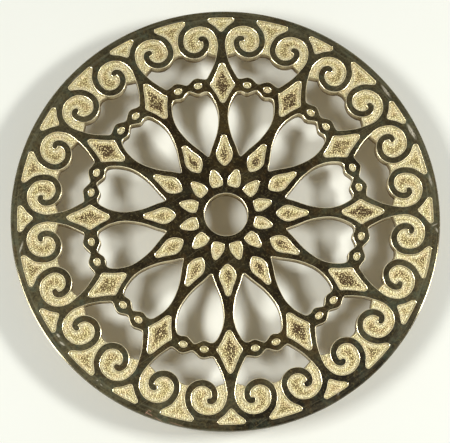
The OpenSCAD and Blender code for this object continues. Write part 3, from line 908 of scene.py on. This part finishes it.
# Geometry Nodes
class Tree:
    """A node tree that turns one mesh into a finished piece, with named inputs."""

    def __init__(self, name):
        self.tree = bpy.data.node_groups.new(name, "GeometryNodeTree")
        self.tree.interface.new_socket("Geometry", in_out="INPUT", socket_type="NodeSocketGeometry")
        self.tree.interface.new_socket("Geometry", in_out="OUTPUT", socket_type="NodeSocketGeometry")
        self.start = self.tree.nodes.new("NodeGroupInput")
        self.end = self.tree.nodes.new("NodeGroupOutput")
        self.sizes = []

    def size(self, name, kind, value):
        made = self.tree.interface.new_socket(name, in_out="INPUT", socket_type=kind)
        self.sizes.append((made.identifier, value))
        return self.start.outputs[name]

    def node(self, kind, settings=(), **inputs):
        """A new node's first output. An input whose name ends in _2 is the second of that name."""
        made = self.tree.nodes.new(kind)
        for key, value in dict(settings).items():
            setattr(made, key, value)
        for key, value in inputs.items():
            sockets = [s for s in made.inputs if s.enabled and s.name == key.replace("_", " ").rstrip(" 2")]
            socket = sockets[1 if key.endswith("_2") else 0]
            if isinstance(value, bpy.types.NodeSocket):
                self.tree.links.new(value, socket)
            else:
                socket.default_value = value
        return next(s for s in made.outputs if s.enabled)

    def math(self, operation, a, b):
        return self.node("ShaderNodeMath", {"operation": operation}, Value=a, Value_2=b)

    def soft_step(self, value, low, high, result=1.0):
        """0 below low, the result above high, and a soft step between."""
        return self.node("ShaderNodeMapRange", {"interpolation_type": "SMOOTHSTEP"}, Value=value,
                         From_Min=low, From_Max=high, To_Max=result)

    def all_round(self, geometry, number):
        """Copies of a geometry at equal angles about Z, joined into one mesh."""
        index = self.node("GeometryNodeInputIndex")
        angle = self.math("MULTIPLY", index, self.math("DIVIDE", math.tau, number))
        turn = self.node("ShaderNodeCombineXYZ", Z=angle)
        points = self.node("GeometryNodePoints", Count=number)
        copies = self.node("GeometryNodeInstanceOnPoints", Points=points, Instance=geometry, Rotation=turn)
        return self.node("GeometryNodeRealizeInstances", Geometry=copies)

    def make(self, mesh, geometry, name):
        """The finished piece: the tree's result as a plain mesh."""
        self.tree.links.new(geometry, self.end.inputs[0])
        source = object_of(mesh)
        modifier = source.modifiers.new(name, "NODES")
        modifier.node_group = self.tree
        for identifier, value in self.sizes:
            modifier[identifier] = value
        shown = source.evaluated_get(bpy.context.evaluated_depsgraph_get())
        piece = object_of(bpy.data.meshes.new_from_object(shown))
        piece.name = piece.data.name = name
        bpy.data.objects.remove(source)
        return piece


# The real relief of the grounds, in millimetres: the stipple's height and grain, how far from the edge it
# starts and is whole, how deep the middle is dished and where that ends, and what joins the sectors
STIPPLE_HEIGHT, STIPPLE_GRAIN, STIPPLE_SEED = 0.24, 1.15, 7.0
STIPPLE_START, STIPPLE_WHOLE = 0.35, 1.0
DISH_DEPTH, DISH_END = 0.12, 3.0
JOIN_WITHIN = 0.002


def rosette_tree(finishes):
    """The plate: twelve sectors in a ring, with real stipple on the grounds, and a finish on each face."""
    tree = Tree("rosette")
    sectors = tree.size("Sectors", "NodeSocketInt", SECTORS)
    height = tree.size("Stipple height", "NodeSocketFloat", STIPPLE_HEIGHT * MM)
    grain = tree.size("Stipple grains per metre", "NodeSocketFloat", 1 / (STIPPLE_GRAIN * MM))
    plate = tree.all_round(tree.start.outputs["Geometry"], sectors)
    plate = tree.node("GeometryNodeMergeByDistance", Geometry=plate, Distance=JOIN_WITHIN * MM)
    inset = tree.node("GeometryNodeInputNamedAttribute", {"data_type": "FLOAT"}, Name="inset")
    share = tree.soft_step(inset, STIPPLE_START, STIPPLE_WHOLE)
    dish = tree.soft_step(inset, STIPPLE_START, DISH_END, -DISH_DEPTH * MM)
    seed = tree.size("Stipple seed", "NodeSocketFloat", STIPPLE_SEED)
    grains = tree.node("ShaderNodeTexNoise", {"noise_dimensions": "4D"}, W=seed, Scale=grain, Detail=1.0)
    up = tree.math("MULTIPLY", tree.math("SUBTRACT", grains, 0.5), height)
    up = tree.math("ADD", tree.math("MULTIPLY", up, share), dish)
    offset = tree.node("ShaderNodeCombineXYZ", Z=up)
    plate = tree.node("GeometryNodeSetPosition", Geometry=plate, Offset=offset)
    finish = tree.node("GeometryNodeInputNamedAttribute", {"data_type": "INT"}, Name="finish")
    equal = {"data_type": "INT", "operation": "EQUAL"}
    for number, material in finishes.items():
        chosen = tree.node("FunctionNodeCompare", equal, A=finish, B=number)
        plate = tree.node("GeometryNodeSetMaterial", Geometry=plate, Selection=chosen, Material=material)
    return tree, plate


tree, plate_geometry = rosette_tree({RAISED: patina(), BARE: bare_brass(), STIPPLED: stippled_gold(),
                                     UNDER: cast_underside()})
plate = tree.make(sector, plate_geometry, "rosette_plate")

# The turned feet, the bosses and the pads, in millimetres. Each is made once and set round the plate.
FOOT_INSET = 12
FOOT_PLACE = PLATE_R - FOOT_INSET
FOOT_Z = 1
FOOT_R, FOOT_TOP_R = 5.2, 5.95
FOOT_ROUND, FOOT_TOP_ROUND = 0.5, 0.35
SEAT_R, HEAD_R, SHANK_R = 4.3, 3.7, 2.2
SEAT_TOP, HEAD_TOP = 2.2, 5.1
FOOT_TOP = 14
# The two grooves in a foot: their height, and its radius below, in and above them
FOOT_GROOVES = ((2.7, 5.26, 5.06, 5.3), (12.4, 5.78, 5.56, 5.84))
GROOVE_HALF_W = 0.3
THREAD_R = 2.05
BOSS_R, BOSS_ROUND, BOSS_FILLET = 6, 0.3, 1.1
# How far the boss's fillet reaches both ways, and how far the boss is sunk in the plate
FILLET_REACH = 0.9
BOSS_SUNK = 0.3
PAD_R, PAD_T = 4.1, 2.2
PAD_ROUND, PAD_TOP_ROUND = 0.3, 0.25
NEAR_AXIS = 0.01
SEGMENTS, ARC_STEPS = 64, 4
SHARP_FROM = math.radians(35)


def turned_mesh(name, section):
    """A closed section turned about the foot's own axis."""
    points, faces = [], []
    n = len(section)
    for i in range(SEGMENTS):
        c, s = polar(1, 360 * i / SEGMENTS)
        points += [(FOOT_PLACE + r * c, r * s, z) for r, z in section]
        j = (i + 1) % SEGMENTS
        faces += [(i * n + k, j * n + k, j * n + (k + 1) % n, i * n + (k + 1) % n) for k in range(n)]
    return plain_mesh(name, points, faces)


def arc(r, z, radius, start, end):
    """Points of a rounding about (r, z)."""
    return [polar(radius, a) + (r, z) for a in np.linspace(start, end, ARC_STEPS + 1)]


def groove(z, below, bottom, above):
    """A small groove at a height, from the radii below, in and above it."""
    return [(below, z - GROOVE_HALF_W), (bottom, z), (above, z + GROOVE_HALF_W)]


def set_round(section, name, material):
    """A turned piece, once at each foot."""
    tree = Tree(name)
    number = tree.size("Feet", "NodeSocketInt", len(SIDES))
    copies = tree.all_round(tree.start.outputs["Geometry"], number)
    copies = tree.node("GeometryNodeSetMaterial", Geometry=copies, Material=material)
    piece = tree.make(turned_mesh(name + "_one", section), copies, name)
    piece.data.set_sharp_from_angle(angle=SHARP_FROM)
    return piece


foot_section = (
    [(SEAT_R, FOOT_Z)] + arc(FOOT_R - FOOT_ROUND, FOOT_Z + FOOT_ROUND, FOOT_ROUND, -90, 0)
    + groove(*FOOT_GROOVES[0]) + groove(*FOOT_GROOVES[1])
    + arc(FOOT_TOP_R - FOOT_TOP_ROUND, FOOT_TOP - FOOT_TOP_ROUND, FOOT_TOP_ROUND, 10, 90)
    + [(SHANK_R, FOOT_TOP), (SHANK_R, HEAD_TOP), (HEAD_R, HEAD_TOP), (HEAD_R, SEAT_TOP)]
    + [(SEAT_R, SEAT_TOP)])
feet = set_round(foot_section, "turned_feet", turned_brass())
boss_section = (
    [(THREAD_R, FOOT_TOP)] + arc(BOSS_R - BOSS_ROUND, FOOT_TOP + BOSS_ROUND, BOSS_ROUND, -90, 0)
    + arc(BOSS_R + BOSS_FILLET, PLATE_BOTTOM - FILLET_REACH, BOSS_FILLET, 180, 100)
    + [(BOSS_R + FILLET_REACH, PLATE_BOTTOM + BOSS_SUNK), (THREAD_R, PLATE_BOTTOM + BOSS_SUNK)])
bosses = set_round(boss_section, "foot_bosses", cast_underside())
pad_section = (
    [(NEAR_AXIS, 0)] + arc(PAD_R - PAD_ROUND, PAD_ROUND, PAD_ROUND, -90, 0)
    + arc(PAD_R - PAD_TOP_ROUND, PAD_T - PAD_TOP_ROUND, PAD_TOP_ROUND, 0, 90) + [(NEAR_AXIS, PAD_T)])
pads = set_round(pad_section, "rubber_pads", pad_rubber())

steel = screw_steel()
for side in SIDES:
    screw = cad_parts[f"foot_screw_{side}"]
    screw.data.materials.clear()
    screw.data.materials.append(steel)

for piece, slot, replaced in ((plate, "plate_brass", ["openwork_plate"]), (bosses, "plate_brass", []),
                              (feet, "foot_brass", [f"foot_{side}" for side in SIDES]),
                              (pads, "pad_rubber", [f"foot_pad_{side}" for side in SIDES])):
    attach(piece, "root")
    if replaced:
        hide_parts(*replaced)

# The sheet that the trivet stands on, in millimetres
SHEET_HALF = 4000
sheet_corners = [(x * SHEET_HALF, y * SHEET_HALF, 0) for x, y in ((-1, -1), (1, -1), (1, 1), (-1, 1))]
sheet = object_of(plain_mesh("pale_sheet", sheet_corners, [(0, 1, 2, 3)]))
sheet.data.materials.append(pale_paper())
sheet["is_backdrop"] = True

# The lamps, in metres and degrees: name, azimuth, elevation, distance, length, width, and the share of
# the sheet's brightness that each gives
LAMPS = (("lamp_left", 192.5, 55.9, 0.91, 0.29, 0.2, 0.452),
         ("lamp_right", -2.9, 50.3, 0.84, 0.18, 0.12, 0.432))
LAMP_COLOUR = (1.0, 0.985, 0.95)
ROOM_COLOUR = (1.0, 0.995, 0.97, 1)
ROOM_LIGHT, ROOM_SEEN = 0.2, 0.95


def soft_lamp(name, azimuth, elevation, distance, length, width, level):
    """A long soft lamp over the trivet, aimed at its middle."""
    reach, height = polar(distance, elevation)
    place = Vector((*polar(reach, azimuth), height))
    data = bpy.data.lights.new(name, "AREA")
    data.shape, data.size, data.size_y = "RECTANGLE", width, length
    data.energy = level * math.pi ** 2 * distance ** 2 / polar(1, elevation)[1]
    data.color = LAMP_COLOUR
    lamp = bpy.data.objects.new(name, data)
    bpy.context.scene.collection.objects.link(lamp)
    back = place.normalized()
    right = Vector((0, 0, 1)).cross(back).normalized()
    up = back.cross(right)
    turn = Matrix((-up, right, back)).transposed().to_4x4()
    lamp.matrix_world = Matrix.Translation(place) @ turn


def pale_room():
    """The room: it gives little light, and is pale where the camera or a reflection sees it."""
    world = bpy.data.worlds.new("studio")
    bpy.context.scene.world = world
    world.use_nodes = True
    nodes, links = world.node_tree.nodes, world.node_tree.links
    rays = nodes.new("ShaderNodeLightPath").outputs
    seen = rays["Is Camera Ray"]
    for kind in ("Is Glossy Ray", "Is Transmission Ray"):
        either = nodes.new("ShaderNodeMath")
        either.operation = "MAXIMUM"
        links.new(seen, either.inputs[0])
        links.new(rays[kind], either.inputs[1])
        seen = either.outputs[0]
    strength = nodes.new("ShaderNodeMapRange")
    strength.inputs["To Min"].default_value = ROOM_LIGHT
    strength.inputs["To Max"].default_value = ROOM_SEEN
    links.new(seen, strength.inputs["Value"])
    background = nodes["Background"]
    background.inputs["Color"].default_value = ROOM_COLOUR
    links.new(strength.outputs["Result"], background.inputs["Strength"])


for lamp in LAMPS:
    soft_lamp(*lamp)
pale_room()

# The camera, over the plate and a little in front of it, in metres. Its focal length is in pixels of the
# photograph, and its sensor in millimetres.
FOCAL_LENGTH, PHOTO_W = 1300, 450
SENSOR_W = 36
CAMERA_AT = Vector((-0.01717, -0.12988, 0.62223))
LOOK_AT = Vector((-0.00061, -0.00344, 0.022))
CAMERA_ROLL = 6.083
camera_data = bpy.data.cameras.new("camera")
camera_data.sensor_width = SENSOR_W
camera_data.lens = SENSOR_W * FOCAL_LENGTH / PHOTO_W
camera = bpy.data.objects.new("camera", camera_data)
bpy.context.scene.collection.objects.link(camera)
aim = (LOOK_AT - CAMERA_AT).to_track_quat("-Z", "Y").to_matrix().to_4x4()
roll = Matrix.Rotation(math.radians(CAMERA_ROLL), 4, "Z")
camera.matrix_world = Matrix.Translation(CAMERA_AT) @ aim @ roll
bpy.context.scene.camera = camera
bpy.context.scene.view_settings.view_transform = "Standard"

low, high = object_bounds()
